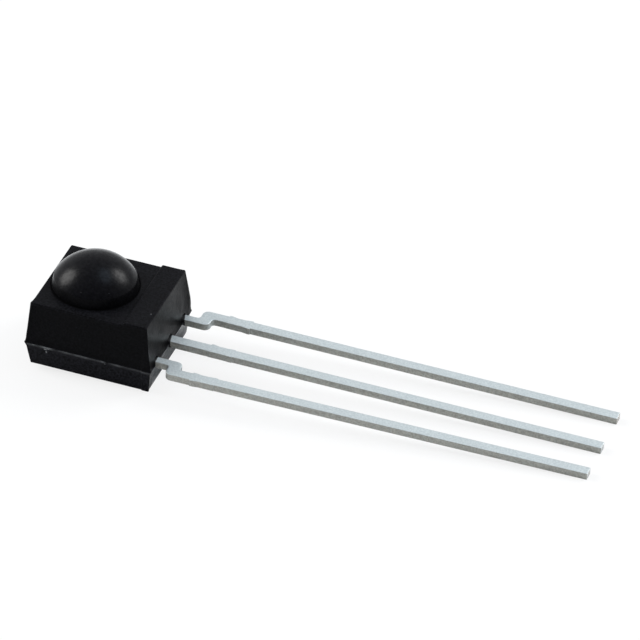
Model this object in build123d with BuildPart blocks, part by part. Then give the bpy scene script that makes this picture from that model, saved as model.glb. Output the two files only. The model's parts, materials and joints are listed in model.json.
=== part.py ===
from build123d import *
import os
from math import atan2, cos, radians, sin, tan

os.makedirs("parts", exist_ok=True)

# An infrared receiver module: a black epoxy housing with a domed lens, moulded round a stamped
# leadframe of three leads. It lies on its back: the lens looks up, and the leads run along +X.
# It rests on the lower edge of the housing's lead end and on the tips of the leads.
# Heights are counted from the middle of the leadframe, and lengths from the housing's lead end.

# Housing
housing_length = 6.35
housing_width = 5.58
lens_side_height = 2.25
back_side_height = 1.27
corner_radius = 0.08
edge_radius = 0.05

# Draft angles of the walls, from the parting line to the lens side and to the back
lens_side_draft = 3.6
lens_side_lead_end_draft = 7.2
back_side_draft = 6.5
back_lens_end_draft = 9.0
back_lead_end_draft = 4.6

# Flash ridge on the parting line
ridge_height = 0.24
ridge_of_lens_half = 0.03
ridge_of_back_half = 0.06

# Raised strip across the lens side, at the lead end
strip_length = 1.2
strip_rise = 0.14

# Lens
lens_base_radius = 2.12
lens_to_end_edge = 0.16
lens_neck_height = 0.5
lens_neck_draft = 11.5
lens_cap_height = 1.093
lens_foot_radius = 0.05

# Ejector mark on the back
ejector_mark_radius = 0.8
ejector_mark_depth = 0.05

# Leadframe
lead_pitch = 2.54
lead_width = 0.55
lead_thickness = 0.35
lead_reach = 21.9
lead_edge_radius = 0.04
output_lead_lean = 0.36

# Outer leads: narrow stub out of the housing, then a sideways jog to the full pitch
stub_offset = 1.89
stub_width = 0.43
jog_start = 0.74
jog_end = 1.34
jog_outer_radius = 0.3
jog_inner_radius = 0.17

# Stumps of the cut dam bar on the sides of each lead: low in the middle, with sheared ends that stand up
stump_start = 1.95
stump_length = 1.38
stump_height = 0.09
stump_waist = 0.03
stump_end_length = 0.2
stump_radius = 0.04

# Small half-round relief in the moulding over each lead
relief_clearance = 0.06
relief_rise = 0.16
relief_depth = 0.1

# Inner ends of the leadframe
pad_length = 1.55
pad_width = 0.8
pad_to_lead_end = 0.75
paddle_width = 2.7
paddle_lens_margin = 0.37
paddle_lead_margin = 0.43
paddle_corner_radius = 0.12

# Chips, and the adhesive under them
photodiode_size = 1.4
photodiode_thickness = 0.25
receiver_length = 1.1
receiver_width = 1.3
receiver_thickness = 0.28
chip_gap = 0.3
die_bond_thickness = 0.03
die_bond_margin = 0.04

# Bond wires
wire_radius = 0.015
wire_foot_radius = 0.05
wire_foot_thickness = 0.02
wire_loop_height = 0.2
wire_slope_length = 0.1
wire_edge_margin = 0.13

# The part's own square frame, laid down on the bench. It tips about the lower edge of the lead end
# until the tips of the leads touch, and the middle of its footprint is the origin.
lead_top = lead_thickness / 2
back_lead_edge = -back_side_height * tan(radians(back_lead_end_draft))
rest_tilt = atan2(back_side_height - lead_top, lead_reach - back_lead_edge)
lens_end_x = -(housing_length + ridge_of_back_half) * cos(rest_tilt)
lead_tip_x = lead_reach * cos(rest_tilt) + lead_top * sin(rest_tilt)
bench_height = back_side_height * cos(rest_tilt) + back_lead_edge * sin(rest_tilt)
lying = Plane(
    origin=(-(lens_end_x + lead_tip_x) / 2, 0, bench_height),
    x_dir=(cos(rest_tilt), 0, -sin(rest_tilt)),
    z_dir=(sin(rest_tilt), 0, cos(rest_tilt)),
)
upward = Axis(lying.origin, lying.z_dir)
lengthways = Axis(lying.origin, lying.x_dir)


def lengthwise(across, length=0.0):
    """Upright plane along the leads, at a distance across the part."""
    return Plane(lying.from_local_coords((length, across, 0)), x_dir=lying.x_dir, z_dir=-lying.y_dir)


def crosswise(length):
    """Upright plane across the leads, at a distance from the lead end."""
    return Plane(lying.from_local_coords((length, 0, 0)), x_dir=lying.y_dir, z_dir=lying.x_dir)


def mould_outline(height, grow=0.0):
    """Outline of the drafted housing at a height, grown outwards for the flash ridge."""
    if height >= 0:
        drafts = (lens_side_draft, lens_side_draft, lens_side_lead_end_draft)
    else:
        drafts = (back_side_draft, back_lens_end_draft, back_lead_end_draft)
    side_inset, lens_end_inset, lead_end_inset = [abs(height) * tan(radians(draft)) for draft in drafts]
    length = housing_length - lens_end_inset - lead_end_inset
    width = housing_width - 2 * side_inset
    with BuildSketch(lying.offset(height)) as outline:
        with Locations((-lead_end_inset - length / 2, 0)):
            RectangleRounded(length + 2 * grow, width + 2 * grow, corner_radius + grow)
    return outline.sketch


def lead_outline(inner_root, outer_root, middle, side=1, lean=0.0):
    """Stamped outline of a lead, with the stumps of the dam bar on both edges of its run.

    A root is a list of corners (length, across, radius) from inside the housing up to the stumps, one for each
    edge. middle is the run's middle line, lean is how far its tip leans inwards, and side mirrors the lead.
    """
    stump_end = stump_start + stump_length
    run = [
        (stump_start, 0, 0),
        (stump_start, stump_height, stump_radius),
        (stump_start + stump_end_length, stump_height, stump_radius),
        (stump_start + 2 * stump_end_length, stump_waist, stump_radius),
        (stump_end - 2 * stump_end_length, stump_waist, stump_radius),
        (stump_end - stump_end_length, stump_height, stump_radius),
        (stump_end, stump_height, stump_radius),
        (stump_end, 0, 0),
        (lead_reach, 0, 0),
    ]

    def run_corner(length, rise, radius, edge):
        share = (length - jog_end) / (lead_reach - jog_end)
        return (length, middle - lean * share + edge * (lead_width / 2 + rise), radius)

    corners = inner_root + [run_corner(*corner, -1) for corner in run]
    corners += [run_corner(*corner, 1) for corner in reversed(run)] + outer_root[::-1]
    with BuildSketch(lying.offset(-lead_top)) as outline:
        with BuildLine():
            FilletPolyline(
                *[(length, side * across) for length, across, _ in corners],
                radius=[radius for _, _, radius in corners],
                close=True,
            )
        make_face()
    return outline.sketch


def outer_lead(side, lean):
    """Outline of an outer lead: bonding pad, narrow stub, jog and long run."""
    stub_inner = stub_offset - stub_width / 2
    stub_outer = stub_offset + stub_width / 2
    pad_start = -pad_to_lead_end - pad_length
    inner_root = [
        (pad_start, stub_inner, 0),
        (jog_end, stub_inner, jog_outer_radius),
        (jog_end, lead_pitch - lead_width / 2, jog_inner_radius),
    ]
    outer_root = [
        (pad_start, stub_inner + pad_width, 0),
        (-pad_to_lead_end, stub_inner + pad_width, 0),
        (-pad_to_lead_end, stub_outer, 0),
        (jog_start, stub_outer, jog_inner_radius),
        (jog_start, lead_pitch + lead_width / 2, jog_outer_radius),
    ]
    return lead_outline(inner_root, outer_root, lead_pitch, side, lean)


def long_edge(edge):
    """True for the edges of a lead's run, beyond the dam bar stumps."""
    return edge.length > lead_reach / 2


# Places of the chips on the paddle: the photodiode is under the lens, the receiver chip between it and the leads
lens_end_edge = -housing_length + lens_side_height * tan(radians(lens_side_draft))
lens_axis_length = lens_end_edge + lens_to_end_edge + lens_base_radius
receiver_centre = lens_axis_length + photodiode_size / 2 + chip_gap + receiver_length / 2
paddle_start = lens_axis_length - photodiode_size / 2 - paddle_lens_margin
paddle_end = receiver_centre + receiver_length / 2 + paddle_lead_margin

# Leads
with BuildPart() as supply_lead:
    extrude(outer_lead(1, 0.0), amount=lead_thickness)
    fillet(supply_lead.edges().filter_by(long_edge), radius=lead_edge_radius)

with BuildPart() as output_lead:
    extrude(outer_lead(-1, output_lead_lean), amount=lead_thickness)
    fillet(output_lead.edges().filter_by(long_edge), radius=lead_edge_radius)

with BuildPart() as ground_lead:
    roots = [[(paddle_end, edge * lead_width / 2, 0)] for edge in (-1, 1)]
    extrude(lead_outline(*roots, 0.0), amount=lead_thickness)
    with BuildSketch(lying.offset(-lead_top)):
        with Locations((paddle_end, 0)):
            RectangleRounded(
                paddle_end - paddle_start, paddle_width, paddle_corner_radius, align=(Align.MAX, Align.CENTER)
            )
    extrude(amount=lead_thickness)
    fillet(ground_lead.edges().filter_by(long_edge), radius=lead_edge_radius)


# Chips on the paddle, each on its layer of adhesive
chip_base = lead_top + die_bond_thickness
photodiode_top = chip_base + photodiode_thickness
receiver_top = chip_base + receiver_thickness

with BuildPart() as photodiode_die_bond:
    with BuildSketch(lying.offset(lead_top)):
        with Locations((lens_axis_length, 0)):
            Rectangle(photodiode_size + 2 * die_bond_margin, photodiode_size + 2 * die_bond_margin)
    extrude(amount=die_bond_thickness)

with BuildPart() as photodiode_chip:
    with BuildSketch(lying.offset(chip_base)):
        with Locations((lens_axis_length, 0)):
            Rectangle(photodiode_size, photodiode_size)
    extrude(amount=photodiode_thickness)

with BuildPart() as receiver_die_bond:
    with BuildSketch(lying.offset(lead_top)):
        with Locations((receiver_centre, 0)):
            Rectangle(receiver_length + 2 * die_bond_margin, receiver_width + 2 * die_bond_margin)
    extrude(amount=die_bond_thickness)

with BuildPart() as receiver_chip:
    with BuildSketch(lying.offset(chip_base)):
        with Locations((receiver_centre, 0)):
            Rectangle(receiver_length, receiver_width)
    extrude(amount=receiver_thickness)


def bond_wire(start, end):
    """Wire looped between two flat feet. Each end is (length, across, height of its pad)."""
    for length, across, height in (start, end):
        with BuildSketch(lying.offset(height)) as foot:
            with Locations((length, across)):
                Circle(wire_foot_radius)
        extrude(foot.sketch, amount=wire_foot_thickness)

    start_foot, end_foot = [lying.from_local_coords(spot) for spot in (start, end)]
    loop_top = max(start[2], end[2]) + wire_loop_height
    start_top, end_top = [lying.from_local_coords((*spot[:2], loop_top)) for spot in (start, end)]
    across_loop = (end_top - start_top).normalized() * wire_slope_length
    drop = lying.z_dir * wire_slope_length
    lift = lying.z_dir * wire_foot_thickness / 2
    with BuildLine() as path:
        Polyline(
            start_foot + lift,
            start_top - drop,
            start_top + across_loop,
            end_top - across_loop,
            end_top - drop,
            end_foot + lift,
        )
    with BuildSketch(Plane(start_foot + lift, x_dir=lying.x_dir, z_dir=lying.z_dir)) as section:
        Circle(wire_radius)
    sweep(section.sketch, path=path.line, transition=Transition.RIGHT)


# Bond wires
receiver_lens_edge = receiver_centre - receiver_length / 2 + wire_edge_margin
receiver_lead_edge = receiver_centre + receiver_length / 2 - wire_edge_margin
receiver_side_edge = receiver_width / 2 - wire_edge_margin
photodiode_edge = lens_axis_length + photodiode_size / 2 - wire_edge_margin
ground_foot = paddle_end - wire_edge_margin
pad_middle = -pad_to_lead_end - pad_length / 2

with BuildPart() as photodiode_wire:
    bond_wire((photodiode_edge, 0, photodiode_top), (receiver_lens_edge, 0, receiver_top))

with BuildPart() as output_wire:
    bond_wire((receiver_centre, -receiver_side_edge, receiver_top), (pad_middle, -stub_offset, lead_top))

with BuildPart() as supply_wire:
    bond_wire((receiver_centre, receiver_side_edge, receiver_top), (pad_middle, stub_offset, lead_top))

with BuildPart() as ground_wire:
    bond_wire((receiver_lead_edge, 0, receiver_top), (ground_foot, 0, lead_top))


# Housing
strip_top = lens_side_height + strip_rise
strip_start = -lens_side_height * tan(radians(lens_side_lead_end_draft)) - strip_length

# Lens half of the moulding: as high as the raised strip, and cut down to the field round the lens
with BuildPart() as lens_half:
    loft([mould_outline(0), mould_outline(strip_top)])
    with BuildSketch(lying.offset(lens_side_height)):
        with Locations((strip_start, 0)):
            Rectangle(housing_length, 2 * housing_width, align=(Align.MAX, Align.CENTER))
    extrude(amount=2 * strip_rise, mode=Mode.SUBTRACT)
    field_rim = lens_half.faces().filter_by(lying).sort_by(upward)[-2].edges().sort_by(lengthways)[:-1]
    strip_rim = lens_half.faces().sort_by(upward)[-1].edges()
    fillet(strip_rim + field_rim, radius=edge_radius)

# Back half of the moulding, sharp round its back face, with an ejector mark under the lens
with BuildPart() as back_half:
    loft([mould_outline(0), mould_outline(-back_side_height)])
    with BuildSketch(lying.offset(-back_side_height)):
        with Locations((lens_axis_length, 0)):
            Circle(ejector_mark_radius)
    extrude(amount=ejector_mark_depth, mode=Mode.SUBTRACT)

# Lens: a drafted neck under a shallow spherical cap, with a small concave foot
neck_top_radius = lens_base_radius - lens_neck_height * tan(radians(lens_neck_draft))
neck_top = lens_side_height + lens_neck_height
cap_top = neck_top + lens_cap_height
lens_radius = (lens_cap_height**2 + neck_top_radius**2) / (2 * lens_cap_height)
lens_plane = lengthwise(0, lens_axis_length)

with BuildPart() as lens:
    with BuildSketch(lens_plane):
        with BuildLine():
            Polyline(
                (0, cap_top),
                (0, lens_side_height - strip_rise),
                (lens_base_radius + lens_foot_radius, lens_side_height - strip_rise),
                (lens_base_radius + lens_foot_radius, lens_side_height),
            )
            RadiusArc(
                (lens_base_radius + lens_foot_radius, lens_side_height),
                (lens_base_radius, lens_side_height + lens_foot_radius),
                lens_foot_radius,
            )
            Line((lens_base_radius, lens_side_height + lens_foot_radius), (neck_top_radius, neck_top))
            RadiusArc((neck_top_radius, neck_top), (0, cap_top), -lens_radius)
        make_face()
    revolve(axis=Axis(lens_plane.origin, lying.z_dir))

with BuildPart() as housing:
    for form in (lens_half, back_half, lens):
        add(form.part)

    # Ridge of flash where the two halves of the mould meet
    loft([mould_outline(0, ridge_of_lens_half), mould_outline(ridge_height)])
    loft([mould_outline(0, ridge_of_back_half), mould_outline(-ridge_height)])

    # Relief over each lead where it leaves the housing
    with BuildSketch(crosswise(-relief_depth)):
        for across in (-stub_offset, 0, stub_offset):
            width = lead_width if across == 0 else stub_width
            with Locations((across, 0)):
                Ellipse(width / 2 + relief_clearance, lead_top + relief_rise)
        with Locations((0, 0)):
            Rectangle(
                2 * housing_width, housing_width, align=(Align.CENTER, Align.MAX), mode=Mode.SUBTRACT
            )
    extrude(amount=2 * relief_depth, mode=Mode.SUBTRACT)

    # The leadframe, chips and wires that the epoxy was moulded round
    for piece in (supply_lead, output_lead, ground_lead, photodiode_die_bond, photodiode_chip):
        add(piece.part, mode=Mode.SUBTRACT)
    for piece in (receiver_die_bond, receiver_chip, photodiode_wire, output_wire, supply_wire, ground_wire):
        add(piece.part, mode=Mode.SUBTRACT)


housing.part.label = "housing"
export_step(housing.part, "parts/housing.step")
output_lead.part.label = "output_lead"
export_step(output_lead.part, "parts/output_lead.step")
ground_lead.part.label = "ground_lead"
export_step(ground_lead.part, "parts/ground_lead.step")
supply_lead.part.label = "supply_lead"
export_step(supply_lead.part, "parts/supply_lead.step")
photodiode_chip.part.label = "photodiode_chip"
export_step(photodiode_chip.part, "parts/photodiode_chip.step")
photodiode_die_bond.part.label = "photodiode_die_bond"
export_step(photodiode_die_bond.part, "parts/photodiode_die_bond.step")
receiver_chip.part.label = "receiver_chip"
export_step(receiver_chip.part, "parts/receiver_chip.step")
receiver_die_bond.part.label = "receiver_die_bond"
export_step(receiver_die_bond.part, "parts/receiver_die_bond.step")
photodiode_wire.part.label = "photodiode_wire"
export_step(photodiode_wire.part, "parts/photodiode_wire.step")
output_wire.part.label = "output_wire"
export_step(output_wire.part, "parts/output_wire.step")
supply_wire.part.label = "supply_wire"
export_step(supply_wire.part, "parts/supply_wire.step")
ground_wire.part.label = "ground_wire"
export_step(ground_wire.part, "parts/ground_wire.step")
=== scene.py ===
# %% [markdown]
# # An infrared receiver module
#
# A black epoxy housing with a domed lens is moulded round three tin-plated leads. It lies on its back on a
# pale bench, with its leads towards the right of the picture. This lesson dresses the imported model: the
# housing and the leads are worked out again as fine surfaces, and every piece gets its finish.
#
# Everything is in metres in the model's frame. The sizes below are in millimetres, because that is how
# such a part is drawn, and one function takes them to the frame.

import json
from math import cos, pi, radians, sin, sqrt, tan

import bmesh
import bpy
import numpy as np
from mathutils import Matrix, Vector
from numpy.linalg import norm


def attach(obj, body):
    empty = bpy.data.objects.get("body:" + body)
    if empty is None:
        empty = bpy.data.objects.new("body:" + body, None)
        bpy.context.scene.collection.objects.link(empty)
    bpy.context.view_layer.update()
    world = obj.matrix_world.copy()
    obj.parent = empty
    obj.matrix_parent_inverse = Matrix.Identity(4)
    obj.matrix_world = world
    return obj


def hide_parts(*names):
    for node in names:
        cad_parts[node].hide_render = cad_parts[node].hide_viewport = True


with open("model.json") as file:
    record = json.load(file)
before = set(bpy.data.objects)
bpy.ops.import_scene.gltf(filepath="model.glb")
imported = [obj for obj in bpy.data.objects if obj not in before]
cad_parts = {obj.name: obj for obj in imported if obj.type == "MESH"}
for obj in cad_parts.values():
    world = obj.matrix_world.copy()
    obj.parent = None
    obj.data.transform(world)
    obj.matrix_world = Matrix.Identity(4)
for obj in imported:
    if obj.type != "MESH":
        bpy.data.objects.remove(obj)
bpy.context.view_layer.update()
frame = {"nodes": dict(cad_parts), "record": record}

# %% [markdown]
# ## The part's own axes
#
# The part lies a little nose-down on its lead tips. Lengths are counted along the leads from the housing's
# lead end, distances across from its middle, and heights from the middle of the leadframe. The mount at the
# lead tips gives that frame: its axis is the direction of the leads, and it lies one lead's reach from the
# lead end.

# %% The part's own axes
MM = 0.001
lead_reach = 21.9
tips = next(mount for mount in frame["record"]["mounts"] if mount["name"] == "lead_row")
along = np.array(tips["axis"])
across = np.array((0.0, 1.0, 0.0))
upward = np.cross(along, across)
lead_end = np.array(tips["pos_m"]) - lead_reach * MM * along


def to_frame(points):
    """Millimetres (length, across, height) to metres: the lead end plus each along its own axis."""
    return lead_end + MM * (np.asarray(points) @ np.array((along, across, upward)))


def together(*parts):
    """Numbers and arrays side by side: one row of them for each place."""
    return np.stack(np.broadcast_arrays(*parts), -1)


print("lead end at", lead_end, "leads run", along)

# %% [markdown]
# ## Camera
#
# The photograph looks down at about 35 degrees from the front right, from far off, so the picture has
# almost no perspective. The camera stands at the point that a fit to the part's corners gave.

# %% Camera
camera_place = Vector((0.0798441, -0.2253921, 0.1701773))
camera_looks = Vector((-0.27456704, 0.77439736, -0.57001901))
camera_data = bpy.data.cameras.new("camera")
camera_data.lens = 343.74
camera_data.sensor_width = 36.0
camera_data.clip_start = 0.01
camera_data.clip_end = 10.0


def new_object(name, data):
    """An object in the scene with its data."""
    thing = bpy.data.objects.new(name, data)
    bpy.context.collection.objects.link(thing)
    return thing


def aimed(name, data, place, looks):
    """A camera or a lamp at a place, looking along a direction."""
    thing = new_object(name, data)
    thing.location = place
    thing.rotation_euler = looks.to_track_quat("-Z", "Y").to_euler()
    return thing


bpy.context.scene.camera = aimed("camera", camera_data, camera_place, camera_looks)
print("camera at", tuple(camera_place))

# %% [markdown]
# ## Meshes from grids
#
# Each new piece is a grid of points: rows along the shape, columns round it. The columns close on
# themselves, and where a row shrinks to one point it makes a pole. Points that fall together are merged, so
# that poles and steps are closed, and faces without an area go.

# %% Grid to mesh
merge_distance = 2e-8
crease_angle = radians(32)


def grid_piece(name, grid, marks=None, lengths=None):
    """One closed surface from a grid (rows, columns, 3) in the part's millimetres.

    Face (row, column) joins the point at that place with its neighbours in the next column and row, and the
    last column joins the first. marks gives each point named numbers for the material, and lengths gives
    each point its place (u, v) on the piece's own map.
    """
    rows, columns = grid.shape[:2]
    places = to_frame(grid.reshape(-1, 3))
    row = np.arange(rows - 1)[:, None] * columns
    column = np.arange(columns)[None, :]
    following = (column + 1) % columns
    below = row + columns
    faces = together(row + column, row + following, below + following, below + column).reshape(-1, 4)

    mesh = bpy.data.meshes.new(name)
    mesh.vertices.add(len(places))
    mesh.vertices.foreach_set("co", places.astype(np.float32).ravel())
    mesh.loops.add(faces.size)
    mesh.loops.foreach_set("vertex_index", faces.ravel())
    mesh.polygons.add(len(faces))
    mesh.polygons.foreach_set("loop_start", np.arange(0, faces.size, 4))
    mesh.update(calc_edges=True)
    for mark, values in (marks or {}).items():
        layer = mesh.attributes.new(mark, "FLOAT", "POINT")
        spread = np.broadcast_to(values, (rows, columns)).astype(np.float32)
        layer.data.foreach_set("value", spread.ravel())
    if lengths is not None:
        layer = mesh.uv_layers.new(name="surface")
        layer.data.foreach_set("uv", lengths.reshape(-1, 2)[faces.ravel()].astype(np.float32).ravel())

    shell = bmesh.new()
    shell.from_mesh(mesh)
    bmesh.ops.remove_doubles(shell, verts=shell.verts, dist=merge_distance)
    bmesh.ops.dissolve_degenerate(shell, dist=merge_distance, edges=shell.edges)
    bmesh.ops.recalc_face_normals(shell, faces=shell.faces)
    open_edges = sum(len(edge.link_faces) != 2 for edge in shell.edges)
    shell.to_mesh(mesh)
    shell.free()
    mesh.shade_smooth()
    mesh.set_sharp_from_angle(angle=crease_angle)
    print(name, "faces", len(mesh.polygons), "edges without two faces", open_edges)
    return new_object(name, mesh)


# %% [markdown]
# ## Sizes of the housing
#
# The housing is a drafted block: its walls lean in from the parting line to the lens side and to the back,
# each end by its own angle, because the mould has to let go of it.

# %% Sizes of the housing
housing_length = 6.35
housing_width = 5.58
lens_side_height = 2.25
back_side_height = 1.27
corner_radius = 0.08
edge_radius = 0.05
back_edge_radius = 0.03

lens_side_draft = 3.6
lens_side_lead_end_draft = 7.2
back_side_draft = 6.5
back_lens_end_draft = 9.0
back_lead_end_draft = 4.6

ridge_height = 0.24
ridge_of_lens_half = 0.03
ridge_of_back_half = 0.06

strip_length = 1.2
strip_rise = 0.14

lens_base_radius = 2.12
lens_to_end_edge = 0.16
lens_neck_height = 0.5
lens_neck_draft = 11.5
lens_cap_height = 1.093
lens_foot_radius = 0.05
lens_shoulder = 0.09
ejector_mark_radius = 0.8
ejector_mark_depth = 0.05


def slope(draft):
    """How far a wall leans in for each millimetre of height: the tangent of its draft angle."""
    return tan(radians(draft))


strip_top = lens_side_height + strip_rise
strip_start = -lens_side_height * slope(lens_side_lead_end_draft) - strip_length
lens_end_edge = -housing_length + lens_side_height * slope(lens_side_draft)
lens_axis = lens_end_edge + lens_to_end_edge + lens_base_radius
neck_top = lens_side_height + lens_neck_height
neck_top_radius = lens_base_radius - lens_neck_height * slope(lens_neck_draft)
lens_radius = (lens_cap_height**2 + neck_top_radius**2) / (2 * lens_cap_height)
cap_centre = neck_top + lens_cap_height - lens_radius
print("lens axis at length", round(lens_axis, 3), "lens top at height", round(cap_centre + lens_radius, 3))

# %% [markdown]
# ## Columns round the housing
#
# Every ring of the housing has the same columns, counted once round its outline. A column on a straight
# wall keeps its length or its distance across at every height, and a column on a corner keeps its angle. At
# the riser of the raised strip two columns stand in one place: one belongs to the low field and one to the
# strip, and the faces between them are the ends of the riser.

# %% Columns round the housing
column_step = 0.055
corner_steps = 8
sharpest = 0.4
spare = 0.02
past_corner = corner_radius + spare
straight_across = housing_width / 2 - strip_top * slope(lens_side_draft) - past_corner
straight_low = -housing_length + back_side_height * slope(back_lens_end_draft) + past_corner
straight_high = -strip_top * slope(lens_side_lead_end_draft) - past_corner


def steps(start, end, step=column_step):
    """Evenly spaced values from start to end, both included, about one step apart."""
    return np.linspace(start, end, int(np.ceil(abs(end - start) / step)) + 1)


def stretch(turn, length=np.nan, side=np.nan, x_sign=1, y_sign=1, strip=False):
    """Columns as rows of (turn, fixed length, fixed distance across, corner signs, strip flag)."""
    return together(np.atleast_1d(turn), length, side, x_sign, y_sign, float(strip))


quarter = np.linspace(0, pi / 2, corner_steps + 1)
half_round = np.concatenate((
    stretch(0.0, side=steps(0, straight_across), strip=True),
    stretch(quarter, strip=True),
    stretch(pi / 2, length=steps(straight_high, strip_start), strip=True),
    stretch(pi / 2, length=steps(strip_start, straight_low), x_sign=-1),
    stretch(pi / 2 + quarter, x_sign=-1),
    stretch(pi, side=steps(straight_across, 0), x_sign=-1),
))
mirrored = np.array((-1, 1, -1, 1, -1, 1))
other_half = half_round[-2:0:-1] * mirrored
turn, fixed_length, fixed_across, x_sign, y_sign, strip_flag = np.concatenate((half_round, other_half)).T
on_strip = strip_flag > 0
print("columns", len(turn), "of them on the strip", int(on_strip.sum()))


def outline(height, grow=0.0):
    """Outline points at a height, one for each column.

    The lens end, the lead end and the half width move in by the height times the slope of their draft. A
    corner column is the corner's centre plus the radius along its turn, and a straight column has its fixed
    place. The corners are sharpest at the parting line, where the mould's halves were cut to meet.
    """
    height = np.asarray(height, float)
    grow = np.asarray(grow, float)
    rise = np.abs(height)
    up = height >= 0
    low = -housing_length + rise * np.where(up, slope(lens_side_draft), slope(back_lens_end_draft))
    high = -rise * np.where(up, slope(lens_side_lead_end_draft), slope(back_lead_end_draft))
    half = housing_width / 2 - rise * np.where(up, slope(lens_side_draft), slope(back_side_draft))
    corner = corner_radius * (sharpest + (1 - sharpest) * np.where(up, rise / strip_top, 0))
    radius = corner + grow
    centre_length = np.where(x_sign > 0, high - corner, low + corner)
    centre_across = y_sign * (half - corner)
    length = np.where(np.isnan(fixed_length), centre_length, fixed_length) + radius * np.cos(turn)
    side = np.where(np.isnan(fixed_across), centre_across, fixed_across) + radius * np.sin(turn)
    return together(length, side, height)


# %% [markdown]
# Three corners of the photographed part swell a little past straight walls, each by its own amount at each
# height. They are given as the corner's turn, the swell's width along the outline and its amounts.

# %% Swollen corners
swell_heights = (-1.27, -0.6, 0.0, 0.45, 0.8, 1.6, 2.3)
corner_swells = (
    (pi / 4, 0.45, (0.0, 0.0, 0.02, 0.085, 0.1, 0.07, 0.035)),
    (-3 * pi / 4, 0.35, (0.02, 0.045, 0.055, 0.065, 0.055, 0.055, 0.055)),
    (-pi / 4, 0.16, (0.045, 0.035, 0.04, 0.03, 0.01, 0.0, 0.0)),
)
ledge = outline(0.0)
around = np.cumsum(np.hypot(*np.diff(ledge[:, :2], axis=0, append=ledge[:1, :2]).T))
print("once round the parting line", round(around[-1], 2), "mm")


def wall(height, grow=0.0):
    """Outline points with the swells: each fades round the outline from its corner like a bell curve."""
    for corner_turn, width, amounts in corner_swells:
        away = around - around[np.argmin(np.abs(turn - corner_turn))]
        grow = grow + np.interp(height, swell_heights, amounts) * np.exp(-((away / width) ** 2))
    return outline(height, grow)


# %% [markdown]
# ## Flash
#
# A worn mould leaves a thin uneven fin of flash on the parting line. All round it is a ripple of random
# waves, and on the near side it is torn where the photograph shows it: pairs of length and share of height.

# %% Flash on the parting line
flash_height = 0.02
flash_tears = (
    (-6.0, 0.6), (-5.65, 0.2), (-5.4, 0.9), (-5.15, 0.9), (-4.95, 0.15), (-4.25, 0.2), (-3.95, 0.0),
    (-3.7, 0.75), (-3.3, 0.9), (-3.1, 0.25), (-2.75, 0.1), (-2.4, 1.0), (-2.2, 0.1), (-1.65, 0.8),
    (-1.4, 0.2), (-0.6, 0.15), (-0.4, 0.35),
)
tear_share = 0.75
ripple_share = 0.5
wave_count = 24
draw = np.random.default_rng(11)
waves = draw.uniform(0.4, 9.0, wave_count)
phases = draw.uniform(0, 2 * pi, wave_count)
ripple = 0.5 + 0.5 * np.sin(around[:, None] * waves + phases).sum(1) / sqrt(wave_count)
near_side = np.abs(turn + pi / 2) < 0.01
tears = np.interp(ledge[:, 0], *np.array(flash_tears).T)
torn = tear_share * tears + (1 - tear_share) * ripple
fin = np.clip(np.where(near_side, torn, ripple_share * ripple), 0, 1)
flash = flash_height * fin
print("flash from", round(flash.min(), 4), "to", round(flash.max(), 4), "mm")

# %% [markdown]
# ## The moulded housing
#
# The housing is one surface. Its rows start at the top of the lens, run down the lens and out over the
# field, up the riser of the strip where there is one, over the edge and down the walls, across the flash
# ridge at the parting line, and under the back to its middle. Rows that a column doesn't need fall together
# there and are merged.

# %% Rows of points
columns = len(turn)
top = np.where(on_strip, strip_top, lens_side_height)
edge = wall(top, -edge_radius)
bearing = np.arctan2(edge[:, 1], edge[:, 0] - lens_axis)


def shares(count, whole=1.0):
    """Even steps up to a whole, the first left out."""
    return np.linspace(0, whole, count + 1)[1:]


def circles(radii, heights):
    """Rings about the lens axis: the axis plus each radius along the column's bearing."""
    radii = np.asarray(radii, float)[:, None]
    heights = np.asarray(heights, float)[:, None]
    return together(lens_axis + radii * np.cos(bearing), radii * np.sin(bearing), heights)


def between(start, end, count):
    """Rings evenly spaced from one ring to another, the first left out."""
    return start + shares(count)[:, None, None] * (end - start)


def rounded(share):
    """Drop of a rounded edge at a share of its radius from the edge: a quarter circle."""
    return 1 - np.sqrt(1 - (1 - np.clip(share, 0, 1)) ** 2)


def arc(centre, radius, angles):
    """Points (radius, height) about a centre: its own plus the arc's radius times sine and cosine."""
    return together(centre[0] + radius * np.sin(angles), centre[1] + radius * np.cos(angles))


# %% [markdown]
# The lens is a spherical cap that turns over a shoulder of its own small radius into a leaning neck, and a
# hollow foot takes the neck into the field. The shoulder's centre is where a circle inside the cap and a
# line inside the neck meet.

# %% Lens rows
cap_rows = 42
shoulder_rows = 8
neck_steps = 7
foot_steps = 6
neck_angle = pi / 2 - radians(lens_neck_draft)
reach = lens_radius - lens_shoulder
neck_line = (sin(neck_angle), cos(neck_angle))
on_neck = neck_top_radius * neck_line[0] + neck_top * neck_line[1] - lens_shoulder
lean = on_neck - cap_centre * neck_line[1]
cap_angle = neck_angle - np.arccos(lean / reach)
shoulder_centre = (reach * sin(cap_angle), cap_centre + reach * cos(cap_angle))
shoulder = np.linspace(cap_angle, neck_angle, shoulder_rows + 1)[1:]
lens_section = np.concatenate((
    arc((0, cap_centre), lens_radius, np.linspace(0, cap_angle, cap_rows)),
    arc(shoulder_centre, lens_shoulder, shoulder),
))
neck_foot = np.array((lens_base_radius, lens_side_height + lens_foot_radius))
neck_rows = lens_section[-1] + shares(neck_steps)[:, None] * (neck_foot - lens_section[-1])
foot_turn = shares(foot_steps, pi / 2)
foot_rows = together(lens_base_radius + lens_foot_radius * (1 - np.cos(foot_turn)),
                     lens_side_height + lens_foot_radius * (1 - np.sin(foot_turn)))
lens_section = np.concatenate((lens_section, neck_rows, foot_rows))
lens_rings = circles(*lens_section.T)
print("lens rows", len(lens_rings), "shoulder starts at", round(float(np.degrees(cap_angle)), 1), "degrees")

# %% [markdown]
# The field runs out to the edge, or to the foot of the riser. A strip column goes on up the riser and over
# the strip, and its point at a distance past the riser is dropped by the rounded top edge.

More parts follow.
